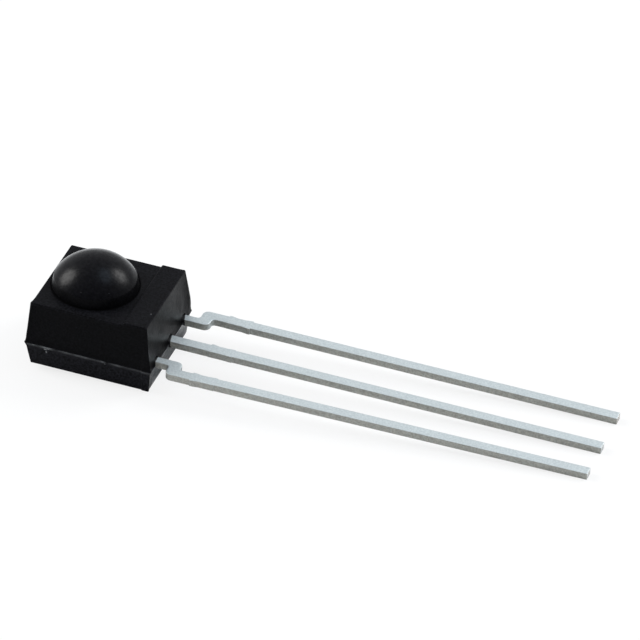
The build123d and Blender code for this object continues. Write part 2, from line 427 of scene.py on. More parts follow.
# %% Field and strip rows
field_steps = 9
riser_steps = 2
riser_rounding_steps = 5
foot_ring = lens_rings[-1]
to_riser = (strip_start - foot_ring[:, 0]) / (edge[:, 0] - foot_ring[:, 0])
riser = foot_ring + np.where(on_strip, to_riser, 1.0)[:, None] * (edge - foot_ring)
riser[:, 2] = lens_side_height
field = between(foot_ring, riser, field_steps)
past_riser = np.where(on_strip, edge[:, 0] - strip_start, 0.0)


def strip_point(distance):
    """Points of all columns at a distance past the riser; a field column stays where it is."""
    distance = np.minimum(distance, past_riser)
    part = np.divide(distance, past_riser, out=np.zeros(columns), where=past_riser > 0)
    point = riser + part[:, None] * (edge - riser)
    on_top = strip_top - edge_radius * rounded(distance / edge_radius)
    point[:, 2] = np.where(on_strip, on_top, lens_side_height)
    return point


riser_top = strip_point(np.zeros(columns))
riser_wall = between(riser, riser_top, riser_steps)
riser_rounding = np.array([strip_point(np.full(columns, edge_radius * (1 - cos(angle))))
                           for angle in shares(riser_rounding_steps, pi / 2)])
strip_face = between(riser_rounding[-1], strip_point(past_riser), field_steps)
print("field rows", len(field), "strip rows", len(riser_wall) + len(riser_rounding) + len(strip_face))

# %% [markdown]
# The walls go down from a rounded edge. The flash ridge is two thin wedges that meet at the parting line,
# the lower one wider, and the fin stands on its lip. Each of its rows is a height and how far it is out.

# %% Edge, wall and ridge rows
edge_steps = 6
wall_steps = 25
strip_drop = edge_radius * rounded(past_riser / edge_radius)
edge_rows = []
for angle in shares(edge_steps, pi / 2):
    height = top - np.maximum(edge_radius * (1 - cos(angle)), np.where(on_strip, strip_drop, 0))
    edge_rows.append(wall(height, -edge_radius * (1 - sin(angle))))
wall_start = edge_rows[-1][:, 2]
wall_rows = [wall(wall_start + part * (ridge_height - wall_start)) for part in shares(wall_steps)]

# The ridge from top to bottom: the upper wedge, the step out to the lip, the lip, and the lower wedge
wedge_steps = 5
lip = ridge_of_back_half + flash
ridge_section = [(ridge_height * (1 - part), ridge_of_lens_half * part) for part in shares(wedge_steps)]
ridge_section += [(0.0, ridge_of_lens_half + part * (lip - ridge_of_lens_half)) for part in (0.35, 0.7)]
ridge_section += [(0.004, lip - 0.006), (-0.008, lip), (-0.024, lip - 0.35 * flash - 0.004)]
ridge_section += [(-ridge_height * part, ridge_of_back_half * (1 - part) + 0.4 * flash * (1 - part) ** 3)
                  for part in (0.16, 0.32, 0.5, 0.75, 1.0)]
ridge_rows = [wall(height, grow) for height, grow in ridge_section]
print("wall rows", len(wall_rows), "ridge rows", len(ridge_rows))

# %% [markdown]
# Below the ridge come the lower walls, the rounded edge of the back, the back face and the shallow round
# mark of the ejector pin, which closes on its own middle.

# %% Back rows
lower_steps = 8
back_edge_steps = 4
back_steps = 8
centre_steps = 5
back_start = back_side_height - back_edge_radius
lower_rows = [wall(-ridge_height - part * (back_start - ridge_height)) for part in shares(lower_steps)]
lower_rows += [wall(-back_start - back_edge_radius * sin(angle), -back_edge_radius * (1 - cos(angle)))
               for angle in shares(back_edge_steps, pi / 2)]
mark_ring = circles([ejector_mark_radius], [-back_side_height])[0]
mark_floor = mark_ring + np.array((0, 0, ejector_mark_depth))
middle = np.array((lens_axis, 0, ejector_mark_depth - back_side_height)) + 0 * mark_floor
back_rows = between(lower_rows[-1], mark_ring, back_steps)
print("lower rows", len(lower_rows), "back rows", len(back_rows))

# %% [markdown]
# The rows are put together in order. The material reads five marks from them:
#
# - polish: 1 on the lens, fading down to its foot
# - dull_and_painted_shade: where the neck and foot of the lens lose their gloss, and where the foot is
#   painted near black as shade in the crease round the lens
# - pale: the fin of flash
# - painted_light_level: painted light and shade, how light the texture is painted for the light each face
#   gets: darkest on the lens half's walls, lighter on the top, lightest on the back half
# - end_gloss: the lead end's wall, which the mould left smooth near the parting line; below the parting line
#   it also masks a painted reflection

# %% The housing's surface
housing_parts = {
    "lens": lens_rings,
    "field": field,
    "riser": riser_wall,
    "riser_rounding": riser_rounding,
    "strip": strip_face,
    "edge": edge_rows,
    "wall": wall_rows,
    "ridge": ridge_rows,
    "lower": lower_rows,
    "back": back_rows,
    "mark": mark_floor[None],
    "centre": between(mark_floor, middle, centre_steps),
}
housing_grid = np.concatenate([np.asarray(part) for part in housing_parts.values()])
counts = [len(part) for part in housing_parts.values()]
first_row = dict(zip(housing_parts, np.cumsum([0, *counts])))
row_number = np.arange(len(housing_grid))[:, None]
height = housing_grid[..., 2]

# Painted light and shade: how light each face's texture is painted for the light that falls on it, from near
# black at 0 to its full colour at 1
lens_painted_light = 0.2
face_painted_light = 0.55
wall_painted_light = 0.22
back_painted_light = 1.0
neck_dull_and_shade = 0.1
fading_cap_rows = 13
foot_start = len(lens_section) - len(foot_rows)
neck_start = foot_start - len(neck_rows)
fade_start = neck_start - fading_cap_rows
polish = np.zeros((len(housing_grid), 1))
polish[:fade_start] = 1
polish[fade_start:foot_start, 0] = np.linspace(0.97, 0.1, foot_start - fade_start) ** 2
# The neck and foot lose their gloss, and the foot is painted near black as shade in the crease round the lens
dull_and_painted_shade = np.zeros((len(housing_grid), 1))
dull_and_painted_shade[neck_start:foot_start] = neck_dull_and_shade
dull_and_painted_shade[foot_start:len(lens_section)] = 1

# The fin's share in each row of the ridge: none on the upper wedge, fading out on the lower one
fin_shares = np.array((0, 0, 0, 0, 0, 1, 1, 1, 1, 1, 1, 1, 0.5, 0, 0))
pale = np.zeros(housing_grid.shape[:2])
pale[first_row["ridge"]:first_row["lower"]] = fin_shares[:, None] * fin

on_wall = row_number >= first_row["wall"]
# Painted shade and light by face: the top, the walls above the parting line, those below it, and the lens
painted_light_level = np.where(on_wall, np.where(height > 0, wall_painted_light, back_painted_light), face_painted_light)
painted_light_level[:len(lens_section)] = lens_painted_light
lead_end_side = np.abs(turn) < pi / 4
above_back = row_number < first_row["back"] - back_edge_steps
gloss_by_height = np.interp(height, (-0.3, 0.0, 0.35, 1.1, 2.1), (1.0, 0.6, 0.45, 0.3, 0.25))
end_gloss = gloss_by_height * (lead_end_side & on_wall & above_back)

housing = grid_piece("moulded_housing", housing_grid, {
    "polish": polish, "dull_and_painted_shade": dull_and_painted_shade, "pale": pale, "painted_light_level": painted_light_level, "end_gloss": end_gloss,
})
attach(housing, "root")
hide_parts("housing")

# %% [markdown]
# ## Reliefs over the leads
#
# The mould leaves a small half-round pocket over each lead where it comes out. Three short half-elliptic
# cutters are taken away from the housing, and the result is kept as its mesh.

# %% Sizes of the leadframe
lead_pitch = 2.54
lead_width = 0.55
lead_thickness = 0.35
lead_top = lead_thickness / 2
stub_offset = 1.89
stub_width = 0.43
relief_clearance = 0.06
relief_rise = 0.16
relief_depth = 0.1

# %% Reliefs over the leads
relief_steps = 24
relief_core_height = 0.05
relief_base_height = 1e-4


def relief_cutter(middle_line, width):
    """Half-elliptic bar: rows along its length, and columns round half an ellipse."""
    angle = np.linspace(0, pi, relief_steps)
    side = middle_line + (width / 2 + relief_clearance) * np.cos(angle)
    height = (lead_top + relief_rise) * np.sin(angle) + relief_base_height
    arch = together(0.0, side, height)
    core = np.array((0, middle_line, relief_core_height)) + 0 * arch
    inward = np.array((-relief_depth, 0, 0))
    outward = np.array((2 * relief_depth, 0, 0))
    return np.stack((core + inward, arch + inward, arch + outward, core + outward))


roots = ((-stub_offset, stub_width), (0.0, lead_width), (stub_offset, stub_width))
for number, (offset, width) in enumerate(roots):
    cutter = grid_piece("relief_cutter_%d" % number, relief_cutter(offset, width))
    cut = housing.modifiers.new("relief", "BOOLEAN")
    cut.operation = "DIFFERENCE"
    cut.solver = "EXACT"
    cut.object = cutter
    evaluated = housing.evaluated_get(bpy.context.evaluated_depsgraph_get())
    carved = bpy.data.meshes.new_from_object(evaluated)
    housing.modifiers.remove(cut)
    housing.data = carved
    bpy.data.objects.remove(cutter)
housing.data.name = "moulded_housing"
print("housing faces after the reliefs", len(housing.data.polygons))

# %% [markdown]
# ## Stamped leads
#
# A lead is punched from strip, so it is a flat ribbon between two edge lines. Both lines have the same
# number of corners, each rounded a little, and each pair of points carries one section: a rounded rectangle
# whose upper edges are soft from the punch, and whose lower edges are sharp.

# %% Sizes of the leads
jog_start = 0.74
jog_end = 1.34
jog_outer_radius = 0.3
jog_inner_radius = 0.17
stump_start = 2.03
stump_length = 1.24
stump_waist = 0.015
stump_end_length = 0.14
stump_radius = 0.025
pad_length = 1.55
pad_width = 0.8
pad_to_lead_end = 0.75
pad_shoulder = 0.03
paddle_width = 2.7
paddle_start = -4.998
paddle_end = -1.398
output_lead_lean = 0.36

soft_edge = 0.028
sharp_edge = 0.015
least_corner = 0.012
corner_points = 6
run_step = 0.08
negligible = 1e-6


# %% Edge lines and sections
def rounded_line(corners):
    """A line's first point, its corners (length, across, radius) as arcs, and its last point.

    A corner's arc has its centre on the line that halves the corner, at the radius divided by the sine of
    half the corner's angle, and its points turn evenly from one tangent to the other. A corner that doesn't
    turn is its own point, as often as an arc has points.
    """
    arcs = [corners[:1, :2]]
    for before, at, after in zip(corners, corners[1:], corners[2:]):
        at_point = at[:2]
        back = (before[:2] - at_point) / norm(before[:2] - at_point)
        on = (after[:2] - at_point) / norm(after[:2] - at_point)
        halving = back + on
        if norm(halving) < negligible:
            arcs.append(np.repeat(at_point[None], corner_points, 0))
            continue
        half_angle = np.arccos(np.clip(back @ on, -1, 1)) / 2
        radius = max(at[2], least_corner)
        centre = at_point + halving / norm(halving) * radius / np.sin(half_angle)
        start = at_point + back * radius / np.tan(half_angle) - centre
        end = at_point + on * radius / np.tan(half_angle) - centre
        part = np.linspace(0, 1, corner_points)[:, None]
        sweep = np.arccos(np.clip(start @ end / radius**2, -1, 1))
        turned = np.sin((1 - part) * sweep) * start + np.sin(part * sweep) * end
        arcs.append(centre + turned / np.sin(sweep))
    return [*arcs, corners[-1:, :2]]


def edge_pair(left, right):
    """Two edge lines with the same number of points, one from each list of corners."""
    arcs = [np.stack(pair, 1) for pair in zip(rounded_line(left), rounded_line(right))]
    points = arcs[:1]
    for arc_pair in arcs[1:]:
        last = points[-1][-1]
        gap = norm(arc_pair[0] - last, axis=1).max()
        count = max(1, int(np.ceil(gap / run_step)))
        part = np.linspace(0, 1, count + 1)[1:-1, None, None]
        points += [last + part * (arc_pair[0] - last), arc_pair]
    return np.concatenate(points).swapaxes(0, 1)


def section():
    """Points round a lead's section as (share across, step from the soft edge, height, side), top first.

    The share runs from 0 at the left edge to 1 at the right one. Top edges are quarter circles of the soft
    radius and lower ones of the sharp radius. The side is 1 on the sheared sides, 0 on the rolled faces.
    """
    turn = np.linspace(0, pi / 2, 5)
    flat = np.linspace(0, 1, 9)
    drop = soft_edge * (1 - np.cos(turn))
    right_top = together(1, soft_edge * np.sin(turn), lead_top - drop, turn / turn[-1])
    low_step = soft_edge - sharp_edge * (1 - np.cos(turn))
    low_height = -lead_top + sharp_edge * (1 - np.sin(turn))
    right_low = together(1, low_step, low_height, 1 - turn / turn[-1])
    side = np.linspace(right_top[-1], right_low[0], 6)[1:-1]
    right = np.concatenate((right_top[1:], side, right_low))
    left = (right * np.array((-1, -1, 1, 1)) + np.array((1, 0, 0, 0)))[::-1]
    top_face = together(flat, 0, lead_top, 0)
    bottom = together(flat[::-1], 0, -lead_top, 0)
    return np.concatenate((top_face, right, bottom, left))


# %% Ribbons
lead_section = section()
tip_radius = 0.025
tip_steps = 4
cut_face_shares = (0.8, 0.55, 0.3, 0.0)
least_sheared = 0.45
# How far the dark film over a lead's root reaches past the housing as epoxy
film_reach = 0.015


def straightness(line):
    """How straight an edge runs along the lead at each point: its direction's share along it, squared.

    It is 0 where points are in the same place, as at a sharp corner.
    """
    steps_along = np.gradient(line, axis=0)
    return (steps_along[:, 0] / np.maximum(norm(steps_along, axis=1), negligible)) ** 2


def run_length(points):
    """Distance along a line of points from its first one to each."""
    return np.cumsum(norm(np.diff(points, axis=0, prepend=points[:1]), axis=1))


def capped(end, out):
    """Rows past an end: a rounding that shrinks the section by a quarter circle, then the cut face."""
    centre = end.mean(0)
    spread = end - centre
    size = np.array((1.0, np.abs(spread[:, 1]).max(), lead_top))
    rows = []
    for angle in shares(tip_steps, pi / 2):
        shrink = 1 - tip_radius * (1 - cos(angle)) / size
        rows.append(centre + spread * shrink + np.array((out * tip_radius * (sin(angle) - 1), 0, 0)))
    last = rows[-1]
    rows += [centre + (last - centre) * np.array((1, part, part)) for part in cut_face_shares]
    return np.array(rows)


def ribbon(name, left, right, root, near_shade_reach):
    """A lead from its two corner lists: sections between paired edge points, closed at both ends.

    root is the middle line and width where the lead leaves the housing, and near_shade_reach is how much
    further the dark film over the root reaches along the near edge there than along the far one, as painted
    shade.
    """
    left, right = edge_pair(left, right)
    width = norm(right - left, axis=1)
    way = (right - left) / width[:, None]
    share, step, height, side = lead_section.T
    straight = np.where(share[None] < 0.5, straightness(left)[:, None], straightness(right)[:, None])
    place = soft_edge + share * (width[:, None] - 2 * soft_edge) + step
    points = left[:, None] + way[:, None] * place[..., None]
    body = np.concatenate((points, np.broadcast_to(height[:, None], (*points.shape[:2], 1))), -1)

    tip = capped(body[-1], 1)
    start = capped(body[0], -1)[::-1]
    body[-1, :, 0] -= tip_radius
    grid = np.concatenate((start, body[1:], tip))
    cut = np.zeros((len(grid), 1))
    cut[-len(tip) + 1:] = 1.0
    sheared = np.zeros(grid.shape[:2])
    sheared[:len(start)] = side
    sheared[len(start):-len(tip)] = (side * (least_sheared + (1 - least_sheared) * straight))[1:]
    sheared[-len(tip):-len(tip) + 2] = side
    towards_near = 0.5 + (root[0] - grid[..., 1]) / root[1]
    reached = film_reach + near_shade_reach * (np.clip(towards_near, -1, 2) - grid[..., 2])
    lap = run_length(body[len(body) // 2])
    lengths = together(run_length(grid.mean(1))[:, None], lap[None])
    marks = {"cut": cut, "sheared": sheared, "past_film": grid[..., 0] - reached}
    piece = grid_piece(name, grid, marks, lengths)
    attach(piece, "root")
    return piece


# %% Leads
def run_corners(middle, edge, ends, lean=0.0):
    """Corners of one edge of a lead's run: the cut dam bar stump, then the long run to the tip.

    ends are the heights of the stump's two sheared ends, which the shear left uneven.
    """
    stump_end = stump_start + stump_length
    first, last = ends
    run = (
        (stump_start, 0, 0),
        (stump_start, first, stump_radius),
        (stump_start + stump_end_length, first, stump_radius),
        (stump_start + 3 * stump_end_length, stump_waist, stump_radius),
        (stump_end - 3 * stump_end_length, stump_waist, stump_radius),
        (stump_end - stump_end_length, last, stump_radius),
        (stump_end, last, stump_radius),
        (stump_end, 0, 0),
        (lead_reach, 0, 0),
    )
    lengths, rises, radii = np.array(run).T
    share = (lengths - jog_end) / (lead_reach - jog_end)
    places = middle - lean * share + edge * (lead_width / 2 + rises)
    return together(lengths, places, radii)


def outer_lead(name, side, lean, inner_ends, outer_ends, near_shade_reach):
    """An outer lead: bonding pad, narrow stub, jog and long run, mirrored by side."""
    stub_inner = stub_offset - stub_width / 2
    stub_outer = stub_offset + stub_width / 2
    pad_start = -pad_to_lead_end - pad_length
    inner = np.array((
        (pad_start, stub_inner, 0),
        (-pad_to_lead_end - pad_shoulder, stub_inner, 0),
        (-pad_to_lead_end, stub_inner, 0),
        (jog_end, stub_inner, jog_outer_radius),
        (jog_end, lead_pitch - lead_width / 2, jog_inner_radius),
    ))
    outer = np.array((
        (pad_start, stub_inner + pad_width, 0),
        (-pad_to_lead_end, stub_inner + pad_width, 0),
        (-pad_to_lead_end, stub_outer, 0),
        (jog_start, stub_outer, jog_inner_radius),
        (jog_start, lead_pitch + lead_width / 2, jog_outer_radius),
    ))
    inner = np.concatenate((inner, run_corners(lead_pitch, -1, inner_ends, lean)))
    outer = np.concatenate((outer, run_corners(lead_pitch, 1, outer_ends, lean)))
    edges = [corners * np.array((1, side, 1)) for corners in (inner, outer)]
    return ribbon(name, *edges[::side], (side * stub_offset, stub_width), near_shade_reach)


def middle_lead(name, near_ends, far_ends, near_shade_reach):
    """The middle lead: the paddle inside the housing, then the straight run."""
    edges = []
    for edge, ends in ((-1, near_ends), (1, far_ends)):
        root = np.array((
            (paddle_start, edge * paddle_width / 2, 0),
            (paddle_end, edge * paddle_width / 2, 0),
            (paddle_end, edge * lead_width / 2, 0),
        ))
        edges.append(np.concatenate((root, run_corners(0.0, edge, ends))))
    return ribbon(name, *edges, (0.0, lead_width), near_shade_reach)


# The last number of each lead is how much further its dark root film reaches on the near edge, as painted
# shade
leads = {
    "supply_lead": outer_lead("supply_lead_strip", 1, 0.0, (0.012, 0.06), (0.08, 0.065), 0.11),
    "output_lead": outer_lead("output_lead_strip", -1, output_lead_lean, (0.07, 0.05), (0.05, 0.02), 0.02),
    "ground_lead": middle_lead("ground_lead_strip", (0.018, 0.035), (0.075, 0.045), 0.1),
}
for node, piece in leads.items():
    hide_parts(node)

# %% [markdown]
# ## Finishes
#
# Two effects are shared. Moulded epoxy, adhesive and plated strip all have a fine grain, and both the
# housing and the leads carry a few small marks in named places. Each effect is a node group with its own
# inputs: the spot's mask is 1 inside an ellipsoid about its centre and falls to 0 past a ragged edge. The
# helpers take sockets and put out sockets, and a socket knows the tree that it is in.

# %% Node helpers
def add_node(tree, kind, **values):
    """A node with its properties set by name."""
    node = tree.nodes.new(kind)
    for name, value in values.items():
        setattr(node, name, value)
    return node


def give(socket, value):
    """Link an input to another socket or set its value; a colour may be a triple."""
    if isinstance(value, bpy.types.NodeSocket):
        socket.id_data.links.new(value, socket)
    elif socket.type == "RGBA":
        socket.default_value = (*value, 1.0)
    else:
        socket.default_value = value


def feed(node, *values, **named):
    """Give a node's inputs their values: first ones in order, others by name (underscores for spaces)."""
    for key, value in (*enumerate(values), *named.items()):
        give(node.inputs[key if isinstance(key, int) else key.replace("_", " ")], value)


def vector_step(operation, *values):
    """Result of a vector operation on its values."""
    node = add_node(values[0].id_data, "ShaderNodeVectorMath", operation=operation)
    feed(node, *values)
    return node.outputs["Vector" if operation in ("SUBTRACT", "DIVIDE") else "Value"]


def make_group(name, inputs, outputs):
    """An empty shader node group with a Vector, named inputs (name, default) and named number outputs."""
    group = bpy.data.node_groups.new(name, "ShaderNodeTree")
    group.interface.new_socket("Vector", in_out="INPUT", socket_type="NodeSocketVector")
    for label, default in inputs:
        kind = "NodeSocketVector" if isinstance(default, tuple) else "NodeSocketFloat"
        group.interface.new_socket(label, in_out="INPUT", socket_type=kind).default_value = default
    for label in outputs:
        group.interface.new_socket(label, in_out="OUTPUT", socket_type="NodeSocketFloat")
    return group, add_node(group, "NodeGroupInput").outputs, add_node(group, "NodeGroupOutput")


# %% Grain
grain_group, grain_in, grain_out = make_group(
    "grain", [("Grain Size mm", 0.06), ("Patch Size mm", 0.9)], ["Height", "Patch"])


def noise_of_size(vector, size, detail):
    """Noise whose scale is a thousand over its size in millimetres, since coordinates are in metres."""
    scale = add_node(size.id_data, "ShaderNodeMath", operation="DIVIDE")
    feed(scale, 1 / MM, size)
    noise = add_node(size.id_data, "ShaderNodeTexNoise")
    feed(noise, Vector=vector, Scale=scale.outputs[0], Detail=detail)
    return noise.outputs["Fac"]


feed(grain_out,
     Height=noise_of_size(grain_in["Vector"], grain_in["Grain Size mm"], 3.0),
     Patch=noise_of_size(grain_in["Vector"], grain_in["Patch Size mm"], 2.0))
print("group", grain_group.name, [socket.name for socket in grain_group.interface.items_tree])

# %% Spot
spot_group, spot_in, spot_out = make_group(
    "spot", [("Centre", (0.0, 0.0, 0.0)), ("Radii", (1.0, 1.0, 1.0)), ("Ragged", 0.5)], ["Mask"])
spot_away = vector_step("SUBTRACT", spot_in["Vector"], spot_in["Centre"])
spot_shape = vector_step("DIVIDE", spot_away, spot_in["Radii"])
spot_noise = add_node(spot_group, "ShaderNodeTexNoise")
feed(spot_noise, Vector=spot_shape, Scale=1.6)
spot_uneven = add_node(spot_group, "ShaderNodeMath", operation="MULTIPLY_ADD")
feed(spot_uneven, spot_noise.outputs["Fac"], spot_in["Ragged"], vector_step("LENGTH", spot_shape))
spot_fall = add_node(spot_group, "ShaderNodeMapRange", interpolation_type="SMOOTHSTEP")
feed(spot_fall, Value=spot_uneven.outputs[0], From_Min=1.25, From_Max=0.75)
feed(spot_out, Mask=spot_fall.outputs["Result"])
print("group", spot_group.name, [socket.name for socket in spot_group.interface.items_tree])


# %% Material helpers
def start_material(name):
    """A material with its Principled shader and object coordinates: (material, tree, shader, place)."""
    material = bpy.data.materials.new(name)
    material.use_nodes = True
    tree = material.node_tree
    shader = next(node for node in tree.nodes if node.type == "BSDF_PRINCIPLED")
    return material, tree, shader, add_node(tree, "ShaderNodeTexCoord").outputs["Object"]


def place_group(group, vector, **values):
    """Outputs of a group placed in a material with its own values."""
    node = add_node(vector.id_data, "ShaderNodeGroup", node_tree=group)
    feed(node, Vector=vector, **values)
    return node.outputs


def mark_of(tree, name):
    """A mark that the piece's points carry, by its name."""
    return add_node(tree, "ShaderNodeAttribute", attribute_name=name).outputs["Fac"]


def mix_colours(factor, first, second):
    """Mix of two colours by a factor socket; each colour is a triple or a socket."""
    mix = add_node(factor.id_data, "ShaderNodeMix", data_type="RGBA")
    feed(mix, factor)
    give(mix.inputs[6], first)
    give(mix.inputs[7], second)
    return mix.outputs[2]


def map_range(value, low, high, from_low=0.0, from_high=1.0):
    """A value's range taken to another range, in a straight line."""
    node = add_node(value.id_data, "ShaderNodeMapRange")
    feed(node, Value=value, From_Min=from_low, From_Max=from_high, To_Min=low, To_Max=high)
    return node.outputs["Result"]


def combined(operation, values, clamp=False):
    """Sockets taken together one after another by a maths operation."""
    total = values[0]
    for value in values[1:]:
        node = add_node(value.id_data, "ShaderNodeMath", operation=operation, use_clamp=clamp)
        feed(node, total, value)
        total = node.outputs[0]
    return total


def multiply(*values):
    """Product of sockets."""
    return combined("MULTIPLY", values)


def add_values(*values, clamp=True):
    """Sum of sockets, kept between 0 and 1 unless clamp is off."""
    return combined("ADD", values, clamp)


def bump(shader, height, distance):
    """Bump of a height socket into the shader's normal; distance in metres."""
    node = add_node(height.id_data, "ShaderNodeBump")
    feed(node, Distance=distance, Strength=1.0, Height=height)
    feed(shader, Normal=node.outputs["Normal"])


def spots(vector, places):
    """Masks of several spots added up; each place is (centre, radii) in millimetres, and raggedness."""
    masks = [place_group(spot_group, vector, Centre=tuple(to_frame(centre)), Ragged=ragged,
                         Radii=tuple(MM * radius for radius in radii))["Mask"]
             for centre, radii, ragged in places]
    return add_values(*masks)


def dress(piece, finish):
    """Give a piece its one material."""
    piece.data.materials.clear()
    piece.data.materials.append(finish)


# %% [markdown]
# ## Dark epoxy
#
# The epoxy is darker than black paint, so its colours are very dark and its plain gloss is low, and the
# lens has a clear skin. Shade and light are painted into its colour: the walls darker than the top, the
# foot of the lens near black, and a pale reflection on the lead end below the parting line. Marks seen on
# the part are placed by centre, radii and raggedness: drips of flash, painted shadows of the leads beside
# their roots, and two pale dashes on the lens.

# %% Marks on the epoxy
flash_drips = (
    ((-5.37, -2.79, -0.2), (0.11, 0.12, 0.06), 0.6),
    ((-5.33, -2.76, -0.36), (0.06, 0.12, 0.1), 0.8),
    ((-5.22, -2.8, -0.1), (0.08, 0.12, 0.06), 0.6),
    ((-2.3, -2.79, -0.17), (0.028, 0.12, 0.04), 0.6),
    ((-5.95, -2.82, -0.03), (0.12, 0.12, 0.03), 0.8),
    ((-0.52, -1.43, 2.39), (0.03, 0.03, 0.05), 0.4),
)
# Painted shadows of the leads on the lead end, beside each lead's root on its near side
root_painted_shadows = (
    ((0.0, 1.45, 0.2), (0.4, 0.32, 0.3), 0.5),
    ((0.0, -0.5, 0.2), (0.4, 0.35, 0.3), 0.5),
    ((0.0, -2.3, 0.15), (0.4, 0.25, 0.35), 0.5),
)
# Two short pale dashes low on the near side of the lens
lens_pale_dashes = (
    ((-3.97, -1.86, 2.97), (0.09, 0.05, 0.022), 0.7),
    ((-2.71, -1.4, 2.97), (0.08, 0.05, 0.02), 0.7),
)
body_dark = (0.0028, 0.0028, 0.0036)
body_light = (0.0143, 0.0144, 0.018)
painted_shade_black = (0.0005, 0.0005, 0.0007)
lens_dark = (0.0008, 0.0008, 0.0016)
lens_light = (0.0026, 0.0026, 0.0042)
foot_painted_shade = (0.0006, 0.0006, 0.0008)
# Pale grey of the lower lead end: partly its mottling, partly a painted reflection of the pale bench
mottle_and_reflection_grey = (0.1, 0.096, 0.088)
fin_grey = (0.12, 0.125, 0.13)
drip_grey = (0.2, 0.205, 0.21)
lens_dash_grey = (0.02, 0.02, 0.022)

# %% Dark epoxy
epoxy, tree, shader, place = start_material("dark_epoxy_finish")
feed(shader, IOR=1.45, Specular_IOR_Level=0.05, Coat_IOR=1.5, Coat_Roughness=0.27)
polished = mark_of(tree, "polish")
dulled_and_shaded = mark_of(tree, "dull_and_painted_shade")
glossy_end = mark_of(tree, "end_gloss")
grain = place_group(grain_group, place, Grain_Size_mm=0.1, Patch_Size_mm=1.1)
texture = map_range(grain["Height"], 0.0, 1.0, 0.36, 0.66)
body_colour = mix_colours(texture, body_dark, body_light)
# Painted shade: each face's colour goes towards near black by how much shade is painted on it
shade_painted = mix_colours(mark_of(tree, "painted_light_level"), painted_shade_black, body_colour)
lens_colour = mix_colours(texture, lens_dark, lens_light)
# Painted shade: the foot of the lens goes near black in its crease
moulded = mix_colours(dulled_and_shaded, mix_colours(polished, shade_painted, lens_colour), foot_painted_shade)

# Pale mottling of the lead end below the parting line, partly its grain and partly a painted reflection of
# the pale bench, held back at the leads' roots by painted shadows of the leads, and then the marks
blotch = place_group(grain_group, place, Grain_Size_mm=0.16, Patch_Size_mm=0.7)
blotches_and_root_shadows = multiply(map_range(blotch["Height"], 0.15, 1.0, 0.36, 0.66),
                    map_range(blotch["Patch"], 0.3, 1.0, 0.4, 0.6),
                    map_range(spots(place, root_painted_shadows), 1.0, 0.1))
# Painted reflection of the bench on the lead end below the parting line
below_parting = map_range(glossy_end, 0.0, 1.0, 0.5, 0.85)
mottled_and_reflecting = mix_colours(multiply(blotches_and_root_shadows, below_parting), moulded, mottle_and_reflection_grey)
fin_part = multiply(mark_of(tree, "pale"), map_range(grain["Patch"], 0.35, 1.0, 0.3, 0.5))
flashed = mix_colours(fin_part, mottled_and_reflecting, fin_grey)
dripped = mix_colours(spots(place, flash_drips), flashed, drip_grey)
with_lens_dashes = mix_colours(spots(place, lens_pale_dashes), dripped, lens_dash_grey)

# Roughness: satin patches on the matt body, an even lens, and its foot rougher still
matt_rough = map_range(grain["Patch"], 0.36, 0.48, 0.3, 0.7)
rough = map_range(polished, matt_rough, 0.3)
rough = add_values(rough, map_range(dulled_and_shaded, 0.0, 0.6))

# Gloss: a clear skin on the lens, the lead end's own, and the sheen of matt epoxy seen from the side
grazing = add_node(tree, "ShaderNodeLayerWeight").outputs["Facing"]
end_shine = multiply(glossy_end, blotches_and_root_shadows, map_range(grazing, 0.0, 0.7, 0.4, 0.66),
                     map_range(below_parting, 1.0, 0.65))
rim_shine = multiply(map_range(grazing, 0.0, 0.5, 0.7, 0.86), map_range(dulled_and_shaded, 1.0, 0.0))
lens_shine = multiply(polished, map_range(blotch["Height"], 0.11, 0.19, 0.4, 0.6))
coat = add_values(end_shine, rim_shine, lens_shine)
feed(shader, Base_Color=with_lens_dashes, Roughness=rough, Coat_Weight=coat)
bump(shader, multiply(grain["Height"], map_range(polished, 1.0, 0.0)), 0.000012)
print("epoxy nodes", len(tree.nodes))

# %% [markdown]
# ## Tin plate
#
# The rolled faces are pale and streaked along the lead. The sheared sides are greyer and rougher, the cut
# tips show copper, and a black film with a ragged end lies over each lead's root: partly epoxy that bled
# there, partly painted shade at the root that reaches further along the near edge.

# %% Tin plate
# Two thin pale lines by the dam bar stumps of the leads
lead_pale_lines = (
    ((2.1, -2.8, -0.05), (0.018, 0.08, 0.16), 0.3),
    ((3.33, 2.24, 0.0), (0.025, 0.05, 0.12), 0.6),
)
rolled_dark = (0.555, 0.61, 0.625)
rolled_light = (0.675, 0.725, 0.735)
streak_grey = (0.56, 0.605, 0.61)
side_dark = (0.33, 0.328, 0.3)
side_light = (0.465, 0.463, 0.43)
pale_line_white = (0.8, 0.81, 0.8)
cut_tin = (0.6, 0.61, 0.6)
cut_copper = (0.60, 0.5, 0.42)
film_black = (0.004, 0.004, 0.005)
streak_stretch = (0.25, 9.0, 1.0)

tin, tree, shader, place = start_material("tin_plate_finish")
sheared = mark_of(tree, "sheared")
grain = place_group(grain_group, place, Grain_Size_mm=0.08, Patch_Size_mm=0.8)
speckle = map_range(grain["Height"], 0.0, 1.0, 0.36, 0.64)
surface = add_node(tree, "ShaderNodeUVMap", uv_map="surface")
stretched = add_node(tree, "ShaderNodeMapping")
feed(stretched, Vector=surface.outputs["UV"], Scale=streak_stretch)
streak_noise = add_node(tree, "ShaderNodeTexNoise")
feed(streak_noise, Vector=stretched.outputs["Vector"], Scale=3.0, Detail=4.0)
streaks = streak_noise.outputs["Fac"]
rolled = mix_colours(speckle, rolled_dark, rolled_light)
streaked = mix_colours(map_range(streaks, 0.0, 0.3, 0.5, 0.75), rolled, streak_grey)
punched = mix_colours(sheared, streaked, mix_colours(speckle, side_dark, side_light))
with_pale_lines = mix_colours(spots(place, lead_pale_lines), punched, pale_line_white)
